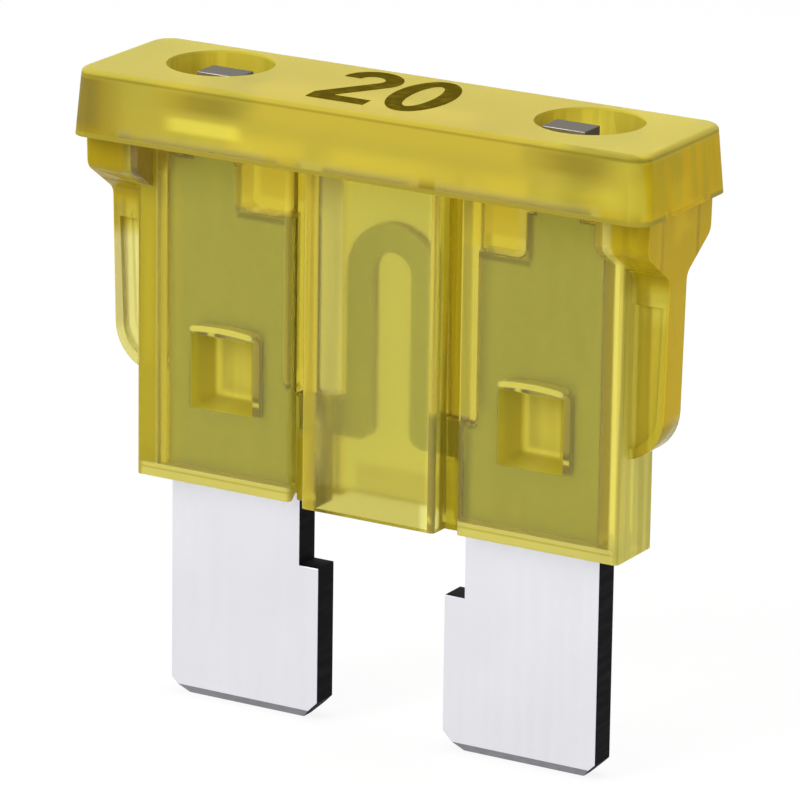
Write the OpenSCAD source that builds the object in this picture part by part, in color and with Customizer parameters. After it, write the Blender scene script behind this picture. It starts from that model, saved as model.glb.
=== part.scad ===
// Regular-size automotive blade fuse: a stamped metal element with two flat
// terminal blades, staked into a moulded translucent housing.
// The fuse stands upright, with the tips of its blades at Z = 0.

/* [Head] */
// Width of the head at its lower edge
head_w = 19.1; // [18.8:0.1:20]
// Depth of the head at its lower edge
head_d = 5.1; // [4.6:0.1:5.6]
// Height of the head
head_h = 2; // [1.7:0.1:2.6]
// How far each side of the head leans in towards its top
head_draft = 0.14; // [0.04:0.02:0.3]
// Radius of the head's upright corners
head_corner_r = 0.55; // [0.4:0.05:1]
// Radius of the head's top edges
head_edge_r = 0.15; // [0.1:0.05:0.3]

/* [Housing body] */
// Height of the body from the mouths of its slots to the head
body_h = 10.5; // [10.2:0.1:11.2]
// Wall between a blade and the outer end of its column
end_wall = 0.88; // [0.5:0.02:1]
// Wall in front of and behind a blade
column_wall = 0.55; // [0.4:0.05:0.7]
// Wall in front of and behind the metal between a column and the window box
web_wall = 0.2; // [0.15:0.05:0.4]
// Width of the window box in the middle
window_w = 4.5; // [4.3:0.05:4.7]
// Depth of the window box
window_d = 2.7; // [2.5:0.1:3.2]
// Front and back wall of the window box
window_pane = 0.4; // [0.3:0.05:0.5]
// Side wall of the window box
window_side = 0.37; // [0.3:0.01:0.5]
// Solid plastic between the window chamber and the head
window_lid = 0.45; // [0.2:0.05:0.8]
// Radius of the body's upright edges
body_edge_r = 0.15; // [0.05:0.05:0.3]

/* [Grip wings] */
// How far a wing reaches out past its column
wing_reach = 1.24; // [0.9:0.02:1.3]
// How far a wing's outer edge leans in towards its lower end
wing_taper = 0.17; // [0.05:0.01:0.3]
// Thickness of a wing
wing_t = 1; // [0.7:0.05:1.3]
// Length of a wing below the head
wing_len = 7.5; // [6.5:0.1:8.5]
// Radius of a wing's lower corner
wing_corner_r = 1.45; // [1:0.05:1.8]
// Thickness of the ear that joins a wing to the head
ear_t = 3.7; // [3.2:0.1:4]
// Height of the ear's straight sides below the head
ear_h = 1.05; // [0.8:0.05:1.4]
// Height of the slope from the ear to the wing
ear_slope_h = 0.95; // [0.7:0.05:1.2]
// Radius of the ear's lower edges
ear_edge_r = 0.4; // [0.2:0.05:0.5]
// Width of the rim around the shallow panel in each face of a wing
rim_w = 0.3; // [0.2:0.05:0.4]
// Depth of that shallow panel
panel_depth = 0.14; // [0.05:0.01:0.2]
// Distance from the head to the top of that shallow panel
panel_drop = 2.85; // [2.6:0.05:3.4]

/* [Test points] */
// Distance between the centres of the two test holes
hole_pitch = 12.3; // [12:0.1:12.6]
// Diameter of a test hole
hole_d = 3.2; // [2.9:0.1:3.3]
// Depth of a test hole
hole_depth = 1.05; // [0.8:0.05:1.3]
// How far the test holes sit behind the middle plane
hole_back = 0.4; // [0:0.05:0.45]
// Width of the metal tab that shows in a test hole
tab_w = 1.4; // [1:0.1:1.8]
// How far the tab sits inwards from the centre of its hole
tab_in = 0.4; // [0.2:0.05:0.5]
// Depth of the tab's end below the top of the head
tab_below = 0.1; // [0.05:0.05:0.5]

/* [Blades] */
// Width of a terminal blade
blade_w = 5.1; // [4.9:0.05:5.3]
// Gap between the two blades
blade_gap = 4.3; // [4.2:0.05:4.5]
// Thickness of the blades
blade_t = 0.9; // [0.6:0.05:1]
// Length of the blades below the housing
blade_out = 6.9; // [6.4:0.1:7.5]
// Height of the full-width part of a blade above its tip
shoulder_z = 4.8; // [4.2:0.1:5.4]
// Width of the step in the inner edge above that part
shoulder_w = 0.66; // [0.5:0.02:0.8]
// Chamfer of a tip's inner corner
tip_inner = 0.6; // [0.3:0.05:0.8]
// Chamfer of a tip's outer corner
tip_outer = 0.5; // [0.3:0.05:0.7]
// Height of the bevels on the faces of a tip
tip_bevel_h = 0.3; // [0.2:0.05:0.5]
// Thickness left at the end of a tip
tip_land = 0.4; // [0.25:0.05:0.5]

/* [Element inside the housing] */
// Step in the inner edge above the neck
waist_w = 0.46; // [0.3:0.02:0.6]
// Height of the shelf at the top inner corner of a blade
shelf_z = 15.35; // [15:0.05:15.8]
// Height of the blade's top
blade_top_z = 16.7; // [16.4:0.1:17]
// Width of the blade above its shelf
blade_top_w = 2.45; // [2.2:0.05:2.7]
// Radius in the corner above the shelf
shelf_r = 0.35; // [0.2:0.05:0.5]
// Radius in the corner where the neck leaves the blade
neck_r = 0.3; // [0.1:0.05:0.4]
// Clearance between the metal and the plastic around it
fit_gap = 0.05; // [0.03:0.01:0.08]
// Widening of each slot's mouth
slot_lead = 0.4; // [0.1:0.02:0.42]

/* [Fuse link] */
// Thickness of the fuse link, which is flush with the back of the blades
link_t = 0.4; // [0.3:0.05:0.5]
// Width of the link's strip
link_w = 0.85; // [0.6:0.05:1]
// Inner radius of the link's arch
link_r = 0.65; // [0.55:0.05:0.75]
// Height of the centre of the arch
arch_z = 14.05; // [13.6:0.05:14.4]
// Height of the lower edge of the link's feet
neck_z = 8.9; // [8.6:0.1:9.3]
// Height of the link's feet
neck_h = 1.15; // [1:0.05:1.4]
// Radius of the feet's lower inner corners
foot_r = 0.45; // [0.3:0.05:0.6]

/* [Stakes] */
// Metal between a stake hole and the outer edge of its blade
stake_edge = 0.9; // [0.7:0.05:1.2]
// Height of the stakes' centres
stake_z = 10.4; // [10.1:0.05:10.9]
// Width of the stake hole in a blade
stake_w = 2.3; // [2.1:0.05:2.5]
// Height of the stake hole in a blade
stake_h = 2.4; // [2.2:0.05:2.6]
// Corner radius of the stake hole
stake_r = 0.25; // [0.15:0.05:0.35]
// How much narrower than the stake hole a dimple's mouth is
dimple_lip = 0.1; // [0:0.05:0.2]
// Width of a dimple's floor
dimple_floor_w = 1.2; // [1:0.05:1.4]
// Height of a dimple's floor
dimple_floor_h = 1.7; // [1.5:0.05:1.9]
// Plastic left between the floors of a stake's two dimples
stake_web = 0.6; // [0.3:0.05:0.8]

/* [Hidden] */

$fn = 64;
cut = 1;
slice = 0.01;
plastic = [0.80, 0.71, 0.10, 0.75];
metal = [0.82, 0.82, 0.85];

body_z = blade_out;
head_z = body_z + body_h;
top_z = head_z + head_h;

blade_in_x = blade_gap / 2;
blade_out_x = blade_in_x + blade_w;
shoulder_x = blade_in_x + shoulder_w;
waist_x = shoulder_x + waist_w;
notch_x = blade_out_x - blade_top_w;

column_in_x = shoulder_x;
column_out_x = blade_out_x + end_wall;
slot_d = blade_t + 2 * fit_gap;
column_d = slot_d + 2 * column_wall;
link_slot_d = link_t + 2 * fit_gap;
link_y = (blade_t - link_t) / 2;
web_d = slot_d + 2 * web_wall;
chamber_w = window_w - 2 * window_side;
chamber_d = window_d - 2 * window_pane;

wing_x = column_out_x + wing_reach;
hole_x = hole_pitch / 2;
tab_x = hole_x - tab_in;
stake_x = blade_out_x - stake_edge - stake_w / 2;
dimple_depth = (column_d - stake_web) / 2;

// Unit vector from one point to another
function toward(a, b) = (b - a) / norm(b - a);

// Cross product of two plane vectors
function turn(a, b) = a[0] * b[1] - a[1] * b[0];

// Distance from a corner to where its arc starts
function arc_start(a, b, c, r) =
    let (u = toward(b, a), v = toward(b, c)) r / tan(acos(u * v) / 2);

// Centre of the arc that rounds the corner at b
function arc_centre(a, b, c, r) =
    let (u = toward(b, a), v = toward(b, c)) b + toward([0, 0], u + v) * r / sin(acos(u * v) / 2);

// Outline through the points, counter-clockwise, each corner rounded to its own radius
module rounded(points, radii) {
    n = len(points);
    before = [for (i = [0:n - 1]) points[(i + n - 1) % n]];
    after = [for (i = [0:n - 1]) points[(i + 1) % n]];
    bends = [for (i = [0:n - 1]) turn(points[i] - before[i], after[i] - points[i])];
    trimmed = [for (i = [0:n - 1])
        let (b = points[i], s = radii[i] > 0 ? arc_start(before[i], b, after[i], radii[i]) : 0)
        each (s > 0 ? [b + toward(b, before[i]) * s, b + toward(b, after[i]) * s] : [b])];
    difference() {
        union() {
            polygon(trimmed);
            for (i = [0:n - 1])
                if (radii[i] > 0 && bends[i] > 0)
                    translate(arc_centre(before[i], points[i], after[i], radii[i])) circle(radii[i]);
        }
        for (i = [0:n - 1])
            if (radii[i] > 0 && bends[i] < 0)
                translate(arc_centre(before[i], points[i], after[i], radii[i])) circle(radii[i]);
    }
}

// Rectangle centred on the origin, with round corners
module rounded_rect(w, h, r) {
    rounded([[-w / 2, -h / 2], [w / 2, -h / 2], [w / 2, h / 2], [-w / 2, h / 2]], [r, r, r, r]);
}

// Prism of a front-view outline, centred on the middle plane
module front_prism(depth) {
    translate([0, depth / 2, 0]) rotate([90, 0, 0]) linear_extrude(depth) children();
}

// Prism of a side-view outline, drawn with Y to the right, from one X to another
module side_prism(from_x, to_x) {
    translate([from_x, 0, 0]) rotate([90, 0, 90]) linear_extrude(to_x - from_x) children();
}

module both_sides() {
    children();
    mirror([1, 0, 0]) children();
}

// Thin slice of the head, with its top at the given height and its outline inset from the lower edge
module head_slice(top, inset) {
    translate([0, 0, top - slice]) linear_extrude(slice)
        rounded_rect(head_w - 2 * inset, head_d - 2 * inset, head_corner_r, $fn = 32);
}

// The head leans in towards its top on all sides and has round upright corners and top edges
module head() {
    round_z = head_h - head_edge_r;
    translate([0, 0, head_z]) hull() {
        head_slice(slice, 0);
        for (a = [0:22.5:90])
            head_slice(
                round_z + head_edge_r * sin(a),
                head_draft * round_z / head_h + head_edge_r * (1 - cos(a)));
    }
}

// Columns, webs and window box, seen from above
module body_plan() {
    column_w = column_out_x - column_in_x;
    for (side = [-1, 1])
        translate([side * (column_in_x + column_w / 2), 0]) rounded_rect(column_w, column_d, body_edge_r);
    square([2 * column_in_x + column_w, web_d], center = true);
    rounded_rect(window_w, window_d, body_edge_r);
}

// Side view of a wing: the thick ear under the head, its slope, and the thin wing
module wing_section(low_z) {
    ear = ear_t / 2;
    thin = wing_t / 2;
    ear_z = head_z - ear_h;
    thin_z = ear_z - ear_slope_h;
    rounded(
        [[-thin, low_z], [thin, low_z], [thin, thin_z], [ear, ear_z], [ear, head_z + cut / 2],
         [-ear, head_z + cut / 2], [-ear, ear_z], [-thin, thin_z]],
        [0, 0, ear_edge_r, ear_edge_r, 0, 0, ear_edge_r, ear_edge_r]);
}

// Front view of a wing, or of its shallow panel when it is inset from the edge
module wing_outline(inset, above) {
    low_z = head_z - wing_len + inset;
    inner_x = column_out_x - column_wall;
    outer_x = wing_x - inset;
    rounded(
        [[inner_x, low_z], [outer_x - wing_taper, low_z], [outer_x, above], [inner_x, above]],
        [0, wing_corner_r - inset, 0, 0]);
}

module wing() {
    difference() {
        intersection() {
            front_prism(ear_t + cut) wing_outline(0, head_z + cut / 2);
            side_prism(column_out_x - column_wall, wing_x + cut) wing_section(head_z - wing_len - cut);
        }
        for (side = [-1, 1])
            translate([0, side * (wing_t / 2 + cut / 2 - panel_depth), 0])
                front_prism(cut) intersection() {
                    wing_outline(rim_w, head_z - panel_drop);
                    translate([column_out_x, 0]) square([wing_reach, top_z]);
                }
    }
}

// Space for one blade inside the housing, seen from the front
module blade_room() {
    g = fit_gap;
    rounded(
        [[shoulder_x - g, body_z - cut], [blade_out_x + g, body_z - cut],
         [blade_out_x + g, blade_top_z + g], [notch_x - g, blade_top_z + g],
         [notch_x - g, shelf_z + g], [waist_x - g, shelf_z + g],
         [waist_x - g, neck_z + neck_h + g], [shoulder_x - g, neck_z + neck_h + g]],
        [0, 0, 0, 0, shelf_r - g, 0, neck_r - g, 0]);
}

// Widened mouth of a slot of the given depth, in side view
module slot_mouth(depth) {
    half = depth / 2;
    polygon([
        [-half - slot_lead, body_z - slot_lead], [half + slot_lead, body_z - slot_lead],
        [half + slot_lead, body_z], [half, body_z + slot_lead], [-half, body_z + slot_lead],
        [-half - slot_lead, body_z]]);
}

// Everything the element passes through on its way in from below
module element_room() {
    neck_top = neck_z + neck_h + fit_gap;
    both_sides() {
        front_prism(slot_d) blade_room();
        side_prism(shoulder_x - fit_gap, blade_out_x + fit_gap) slot_mouth(slot_d);
        front_prism(slot_d)
            translate([tab_x - tab_w / 2 - fit_gap, blade_top_z - cut / 2])
                square([tab_w + 2 * fit_gap, top_z - blade_top_z + cut]);
    }
    translate([-shoulder_x, link_y - link_slot_d / 2, body_z - cut])
        cube([2 * shoulder_x, link_slot_d, neck_top - body_z + cut]);
    translate([-chamber_w / 2, -chamber_d / 2, body_z - cut])
        cube([chamber_w, chamber_d, body_h - window_lid + cut]);
}

// Plastic pressed through the hole in a blade
module stake() {
    w = stake_w - 2 * fit_gap;
    h = stake_h - 2 * fit_gap;
    translate([stake_x, 0, stake_z]) front_prism(slot_d + column_wall) rounded_rect(w, h, stake_r - fit_gap);
}

// Square funnel that the staking punch leaves, from the face of a column inwards
module dimple() {
    mouth_w = stake_w - dimple_lip;
    mouth_h = stake_h - dimple_lip;
    flare_w = (mouth_w - dimple_floor_w) / 2 / dimple_depth;
    flare_h = (mouth_h - dimple_floor_h) / 2 / dimple_depth;
    face_y = column_d / 2 + cut;
    floor_y = stake_web / 2;
    reach = face_y - floor_y;
    half_w = dimple_floor_w / 2;
    half_h = dimple_floor_h / 2;
    translate([stake_x, 0, stake_z]) intersection() {
        translate([0, 0, -mouth_h]) linear_extrude(2 * mouth_h)
            polygon([[-half_w, floor_y], [half_w, floor_y],
                [half_w + flare_w * reach, face_y], [-half_w - flare_w * reach, face_y]]);
        side_prism(-2 * mouth_w, 2 * mouth_w)
            polygon([[floor_y, -half_h], [face_y, -half_h - flare_h * reach],
                [face_y, half_h + flare_h * reach], [floor_y, half_h]]);
    }
}

module housing() {
    color(plastic) difference() {
        union() {
            difference() {
                union() {
                    head();
                    translate([0, 0, body_z]) linear_extrude(body_h + head_h / 4) body_plan();
                    both_sides() wing();
                }
                element_room();
                both_sides() translate([hole_x, hole_back, top_z - hole_depth])
                    cylinder(h = hole_depth + cut, d = hole_d);
            }
            both_sides() stake();
        }
        both_sides() {
            dimple();
            mirror([0, 1, 0]) dimple();
        }
    }
}

// Front view of the right-hand blade, from its tip to its tab
module blade_outline() {
    tab_z = top_z - tab_below;
    difference() {
        union() {
            rounded(
                [[blade_in_x, tip_inner], [blade_in_x + tip_inner, 0], [blade_out_x - tip_outer, 0],
                 [blade_out_x, tip_outer], [blade_out_x, blade_top_z], [notch_x, blade_top_z],
                 [notch_x, shelf_z], [waist_x, shelf_z], [waist_x, neck_z + neck_h],
                 [shoulder_x, neck_z + neck_h], [shoulder_x, shoulder_z], [blade_in_x, shoulder_z]],
                [0, 0, 0, 0, 0, 0, shelf_r, 0, neck_r, 0, 0, 0]);
            translate([tab_x - tab_w / 2, blade_top_z - shelf_r])
                square([tab_w, tab_z - blade_top_z + shelf_r]);
        }
        translate([stake_x, stake_z]) rounded_rect(stake_w, stake_h, stake_r);
    }
}

// Side view of a blade: the faces are bevelled at the tip
module blade_section() {
    half = blade_t / 2;
    land = tip_land / 2;
    polygon([[-land, 0], [land, 0], [half, tip_bevel_h], [half, top_z], [-half, top_z], [-half, tip_bevel_h]]);
}

module blade() {
    intersection() {
        front_prism(blade_t + cut) blade_outline();
        side_prism(0, blade_out_x + cut) blade_section();
    }
}

// Front view of the link: an arch on two legs, whose feet run out to the blades
module link_outline() {
    outer_r = link_r + link_w;
    translate([0, arch_z]) intersection() {
        difference() {
            circle(outer_r);
            circle(link_r);
        }
        translate([-outer_r, 0]) square([2 * outer_r, outer_r]);
    }
    both_sides() {
        translate([link_r, neck_z + neck_h / 2]) square([link_w, arch_z - neck_z - neck_h / 2]);
        rounded(
            [[link_r, neck_z], [shoulder_x + waist_w / 2, neck_z], [shoulder_x + waist_w / 2, neck_z + neck_h],
             [link_r, neck_z + neck_h]],
            [foot_r, 0, 0, 0]);
    }
}

module fuse_element() {
    color(metal) union() {
        both_sides() blade();
        translate([0, link_y, 0]) front_prism(link_t) link_outline();
    }
}

housing();
fuse_element();
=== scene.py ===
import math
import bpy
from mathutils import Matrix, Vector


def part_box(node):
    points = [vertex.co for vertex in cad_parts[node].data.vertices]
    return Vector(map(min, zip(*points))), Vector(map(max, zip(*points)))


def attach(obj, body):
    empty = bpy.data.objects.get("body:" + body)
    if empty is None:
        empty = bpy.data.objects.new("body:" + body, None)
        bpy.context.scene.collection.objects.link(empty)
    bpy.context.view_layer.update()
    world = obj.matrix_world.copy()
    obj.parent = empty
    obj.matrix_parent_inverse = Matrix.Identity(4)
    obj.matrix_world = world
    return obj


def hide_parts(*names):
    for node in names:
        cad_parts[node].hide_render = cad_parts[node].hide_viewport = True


bl_info = {
    "name": "Blade Fuse",
    "version": (1, 0, 0),
    "blender": (4, 5, 0),
    "location": "3D View > Sidebar > Blade Fuse",
    "description": "Dresses the packed blade fuse and sets it before the camera",
    "category": "Object",
}

from types import SimpleNamespace

import bmesh
import bpy
from bpy.props import FloatProperty, FloatVectorProperty, PointerProperty
from mathutils import Matrix, Vector

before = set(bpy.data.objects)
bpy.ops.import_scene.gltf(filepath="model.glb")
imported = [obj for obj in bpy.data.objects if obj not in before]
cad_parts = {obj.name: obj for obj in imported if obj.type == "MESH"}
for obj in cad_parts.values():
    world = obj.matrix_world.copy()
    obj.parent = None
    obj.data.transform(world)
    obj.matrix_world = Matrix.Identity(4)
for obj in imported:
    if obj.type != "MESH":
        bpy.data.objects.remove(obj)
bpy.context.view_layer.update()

MM = 0.001
HOUSING_LOW, HOUSING_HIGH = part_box("housing")
TOP_Z = HOUSING_HIGH.z
BODY_Z = HOUSING_LOW.z
HEAD_H = 2 * MM
HEAD_Z = TOP_Z - HEAD_H
MERGE_DISTANCE = 0.001 * MM
FLAT_ANGLE = math.radians(0.5)
SHARP_ANGLE = math.radians(25)
SMOOTH_ANGLE = math.radians(40)
BUMP_DEPTH = 0.02 * MM


def length(name, description, default):
    return FloatProperty(
        name=name, description=description, default=default, subtype="DISTANCE", unit="LENGTH"
    )


def share(name, description, default):
    return FloatProperty(
        name=name, description=description, default=default, min=0, max=1, subtype="FACTOR"
    )


def colour(name, description, default):
    return FloatVectorProperty(
        name=name, description=description, default=default, min=0, max=1, subtype="COLOR"
    )


def number(name, description, default):
    return FloatProperty(name=name, description=description, default=default)


def angle(name, description, default):
    return FloatProperty(
        name=name, description=description, default=math.radians(default), subtype="ANGLE", unit="ROTATION"
    )


class HousingSettings(bpy.types.PropertyGroup):
    """Sizes, colours and clearness of the moulded housing"""

    edge_round: length("Edge Rounding", "Width of the rounding on the moulding's outer edges", 0.08 * MM)
    inner_depth: length("Inner Depth", "Half depth within which the slots' edges stay sharp", 0.69 * MM)
    inner_reach: length("Inner Reach", "Half width within which the slots' edges stay sharp", 7.5 * MM)

    # The body as a whole
    plastic: colour("Plastic", "Colour of the body's plastic", (0.83, 0.805, 0.335))
    clearness: share("Clearness", "How much of the light the body's faces let through", 0.90)
    depth_colour: colour("Depth Colour", "Colour that thick plastic turns to", (0.88, 0.81, 0.14))
    depth_density: number("Depth Density", "Strength of the depth colour", 1000)
    # Painted shade: the thin dark lines along the head's top, round the slots' mouths and the notches, and
    # the streaks in the test holes
    shade_line_colour: colour("Line Colour", "Colour of the thin dark lines in the plastic", (0.42, 0.35, 0.02))
    shade_line_share: share("Line Strength", "How strongly the lines round the head and mouths show", 0.6)

    # The end walls, and the strips that show beside them on the columns: a painted highlight, with painted
    # shade outside it
    wall_x: length("Wall Place", "Distance from the middle where the end walls begin", 7.76 * MM)
    wall_aside: length("Wall Aside", "How far the strips lie beside their walls", 0.37 * MM)
    wall_plastic: colour("Wall Plastic", "Colour of the end walls", (0.70, 0.62, 0.085))
    # The streaks' colour is also laid on the right wing as painted shade
    wall_streak_and_wing_shade: colour("Wall Streaks", "Colour of the flow streaks in the end walls", (0.55, 0.44, 0.030))
    wall_clearness: share("Wall Clearness", "How much of the light the end walls let through", 0.60)
    side_plastic: colour("Side Plastic", "Colour of the housing's outer sides", (0.97, 0.90, 0.18))
    side_clearness: share("Side Clearness", "How much of the light those sides let through", 0.5)
    # Painted highlight on the strips beside the walls, and painted shade on the strips outside them; the
    # second colour also streaks the outer sides
    strip_highlight: colour("Strip Plastic", "Colour of the bright strips there", (0.94, 0.88, 0.23))
    rim_shade_and_side_streak: colour("Rim Plastic", "Colour of the dark strips outside those", (0.47, 0.39, 0.03))

    # The ears under the head, and the wings below them; the left wing has painted light and the right wing
    # painted shade
    ear_x: length("Ear Place", "Distance from the middle where the ears begin", 8.1 * MM)
    ear_z: length("Ear Height", "Height where the ears begin", 15.0 * MM)
    ear_plastic: colour("Ear Plastic", "Colour of the thick ears", (0.43, 0.32, 0.010))
    ear_side: colour("Ear Sides", "Colour of the ears' and wings' outer sides", (0.66, 0.45, 0.008))
    ear_clearness: share("Ear Side Clearness", "How much of the light those sides let through", 0.15)
    # Painted light: the left wing is painted lighter
    left_wing_highlight: colour("Wing Plastic", "Colour of the left wing", (0.92, 0.88, 0.36))
    wing_slope: number("Wing Slope", "How far the wings lean in per unit of height", 0.17 / 7.5)

    # The window box and the webs beside it. A painted highlight strip and a painted amber edge on each pane,
    # and painted light on the side walls' inner faces, stand in for the lit inside of the box; the side
    # walls next to the webs, and the webs on one side, have painted shade
    box_x: length("Box Side Place", "Distance from the middle where the box's side walls begin", 1.95 * MM)
    box_plastic: colour("Box Plastic", "Colour of the box's side walls", (0.93, 0.87, 0.26))
    box_clearness: share("Box Clearness", "How much of the light the side walls let through", 0.82)
    # Painted shade where the side walls meet the webs
    seam_shade: colour("Seam Plastic", "Colour of the side walls next to the webs", (0.72, 0.60, 0.06))
    # Painted light on the side walls' inner faces
    inner_face_highlight: colour("Inner Plastic", "Colour of the side walls' inner faces", (1.0, 0.97, 0.55))
    inner_clearness: share("Inner Clearness", "How much of the light those faces let through", 0.98)
    pane_y: length("Pane Depth", "Half depth where the window's panes begin", 1.305 * MM)
    # Painted highlight strip and painted amber edge on the panes
    pane_highlight: colour("Pane Strip", "Colour of the bright strip on a pane", (0.90, 0.84, 0.22))
    pane_amber: colour("Pane Amber", "Colour of the amber edge of a pane", (0.84, 0.70, 0.09))
    pane_foot: colour("Pane Foot", "Colour of the bottom of a pane", (0.53, 0.47, 0.11))
    pane_clearness: share("Pane Clearness", "How much of the light the strip and edge let through", 0.65)
    web_x: length("Web Place", "Distance from the middle where the webs begin", 2.28 * MM)
    # The webs are painted lighter on one side and darker, as painted shade, on the other
    web_plastic: colour("Web Plastic", "Colour of the web on one side of the box", (0.84, 0.75, 0.15))
    web_shade: colour("Dark Web", "Colour of the web on the other side", (0.47, 0.39, 0.02))
    low_web: colour("Low Web", "Colour of the webs below the link", (0.50, 0.42, 0.02))

    # The columns round the blades, with a painted highlight and painted shade beside the waists and a
    # painted highlight round the slots' mouths
    column_x: length("Column Place", "Distance from the middle where the columns begin", 2.80 * MM)
    waist_z: length("Waist Height", "Height where the blades narrow to their waists", 10.4 * MM)
    # Painted highlight on one column and painted shade on the other, beside the waists
    waist_highlight: colour("Waist Plastic", "Bright strip on a column beside a waist", (0.67, 0.61, 0.10))
    waist_shade: colour("Recess Plastic", "Dark strip on the other column there", (0.52, 0.46, 0.08))
    waist_clearness: share("Waist Clearness", "How much of the light those strips let through", 0.6)
    # Painted highlight along the thinned rim round the slots' mouths
    mouth_h: length("Mouth Height", "Height of the thinned rim round the slots' mouths", 0.42 * MM)
    mouth_highlight: colour("Mouth Plastic", "Colour of that rim", (0.76, 0.69, 0.17))
    notch_x: length("Notch Place", "Distance from the middle to a notch's outer side", 4.8 * MM)
    notch_z: length("Notch Height", "Height of a notch's lower side", 15.35 * MM)
    notch_plastic: colour("Notch Plastic", "Colour of the corner in a blade's notch", (0.80, 0.68, 0.09))
    notch_clearness: share("Notch Clearness", "How much of the light that corner lets through", 0.75)

    # The staked spots, with painted shade in each pit, darker on its sloping sides, and a painted highlight
    # on the lip over it
    stake_x: length("Stake Place", "Distance of the stakes from the middle", 5.2 * MM)
    stake_z: length("Stake Height", "Height of the stakes", 10.4 * MM)
    stake_reach: length("Stake Reach", "Half width of the spot that a stake marks", 1.15 * MM)
    stake_depth: length("Stake Depth", "Half depth within which a stake marks the plastic", 1.0 * MM)
    lip_bow: number("Lip Bow", "How strongly the lip over a stake bows down at its ends", 60)
    # Painted shade in the pits, streaked with the sides' shade and the lip's highlight
    pit_shade: colour("Punched Plastic", "Colour of the staked plastic", (0.56, 0.48, 0.07))
    punched_streaks: share("Punched Streaks", "How strongly its streaks show", 0.7)
    pit_side_shade: colour("Pit Sides", "Colour of the sloping sides of each spot", (0.50, 0.41, 0.030))
    lip_highlight: colour("Lip Plastic", "Colour of the bright lip over each spot", (0.84, 0.76, 0.12))
    marked_clearness: share("Marked Clearness", "How much of the light marked plastic lets through", 0.40)
    marked_rough: share("Marked Roughness", "Roughness of marked plastic", 0.4)

    # The head, with a painted highlight at the ends of its top, and painted shade at its left end, at the
    # right-hand end of its faces and along its lower edge
    head_plastic: colour("Head Plastic", "Colour of the frosted head", (0.82, 0.71, 0.085))
    head_clearness: share("Head Clearness", "How much of the light the head lets through", 0.60)
    head_frost: share("Head Frost", "Roughness of the frosted head", 0.42)
    face_y: length("Face Depth", "Half depth where the head's faces begin", 2.25 * MM)
    end_x: length("End Place", "Distance from the middle where the head's ends begin", 8.7 * MM)
    end_plastic: colour("End Plastic", "Colour of the head's ends", (0.72, 0.48, 0.010))
    end_streak: colour("End Streaks", "Colour of the streaks in the head's ends", (0.58, 0.44, 0.015))
    end_clearness: share("End Clearness", "How much of the light ears and ends let through", 0.30)
    # Painted shade at the right-hand end of the head's faces, on its left end and along its lower edge
    face_end_shade: colour("Face End", "Colour of the dull end of the head's face", (0.55, 0.49, 0.06))
    shade_plastic: colour("Shade Plastic", "Colour of the head's shaded left end", (0.27, 0.21, 0.03))
    brim_shade: colour("Brim Plastic", "Colour of the head's lower edge", (0.46, 0.38, 0.045))

    # The test holes, with a lit side and a shaded side painted in, and the painted shadow and bright band
    # below each
    hole_x: length("Hole Place", "Distance of the holes from the middle", 6.15 * MM)
    hole_y: length("Hole Back", "How far the holes lie behind the middle plane", 0.4 * MM)
    hole_r: length("Hole Radius", "Radius within which the head has the holes' colours", 1.655 * MM)
    hole_h: length("Hole Depth", "Depth to which it has them", 1.15 * MM)
    # Painted light on the holes' left sides and painted shade on their right sides
    hole_lit_side: colour("Hole Left", "Colour of the holes' left sides", (0.88, 0.74, 0.08))
    hole_shaded_side: colour("Hole Right", "Colour of the holes' right sides", (0.50, 0.43, 0.05))
    hole_clearness: share("Hole Clearness", "How much of the light holes and bands let through", 0.48)
    hole_aside: length("Hole Aside", "How far shadow and band lie beside their hole", 1.2 * MM)
    shadow_plastic: colour("Shadow Plastic", "Colour of the head below each hole", (0.50, 0.41, 0.045))
    # Painted highlight, also laid on the ends of the head's top
    glint_plastic: colour("Glint Plastic", "Colour of the bright band below that", (1.0, 0.90, 0.11))


class ElementSettings(bpy.types.PropertyGroup):
    """Sizes and colours of the stamped metal element"""

    edge_round: length("Edge Rounding", "Width of the rounding on the stamped edges", 0.03 * MM)
    face: colour("Face", "Colour of the plated faces", (0.77, 0.77, 0.81))
    # Painted shade: the faces inside the housing are painted darker, and tinted
    housed: colour("Housed Face", "Colour of the faces inside the housing", (0.585, 0.62, 0.42))
    # Painted shade: the downward bevels at the tips are painted dark
    coined: colour("Coined Tip", "Colour of the bevels pressed into the tips", (0.25, 0.25, 0.27))
    cut_edge: colour("Cut Edge", "Colour of the stamped edges", (0.004, 0.004, 0.005))
    # Painted highlight on the edges inside the housing, with painted shade on their rims
    housed_edge_highlight: colour("Housed Edge", "Colour of the edges inside the housing", (0.92, 0.90, 0.78))
    edge_rim_shade: colour("Rolled Edge", "Colour of those edges' rims", (0.45, 0.44, 0.34))
    rolled_y: length("Rim Place", "Distance from the middle plane where the rims begin", 0.27 * MM)
    # Painted shade on the tabs in the test holes
    tab_face_shade: colour("Tab Face", "Colour of the tabs' faces in the test holes", (0.33, 0.31, 0.30))
    tab_end_shade: colour("Tab End", "Colour of the tabs' ends in the test holes", (0.13, 0.12, 0.10))
    tab_z: length("Tab Depth", "How far below the head's top the tabs' colours begin", 0.9 * MM)


class RatingSettings(bpy.types.PropertyGroup):
    """Size and colour of the printed rating"""

    height: length("Height", "Height of a figure", 3.6 * MM)
    width: length("Width", "Width of a figure", 1.9 * MM)
    stroke: length("Stroke", "Width of a figure's strokes", 0.56 * MM)
    gap: length("Gap", "Gap between the two figures", 0.2 * MM)
    thickness: length("Thickness", "Thickness of the ink", 0.01 * MM)
    aside: length("Aside", "Place of the print's middle across the head", -0.25 * MM)
    back: length("Back", "Place of the print's middle from front to back", 0.22 * MM)
    lean: number("Lean", "How far the figures lean per unit of height", -0.1)
    ink: colour("Ink", "Colour of the ink", (0.085, 0.062, 0.004))


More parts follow.
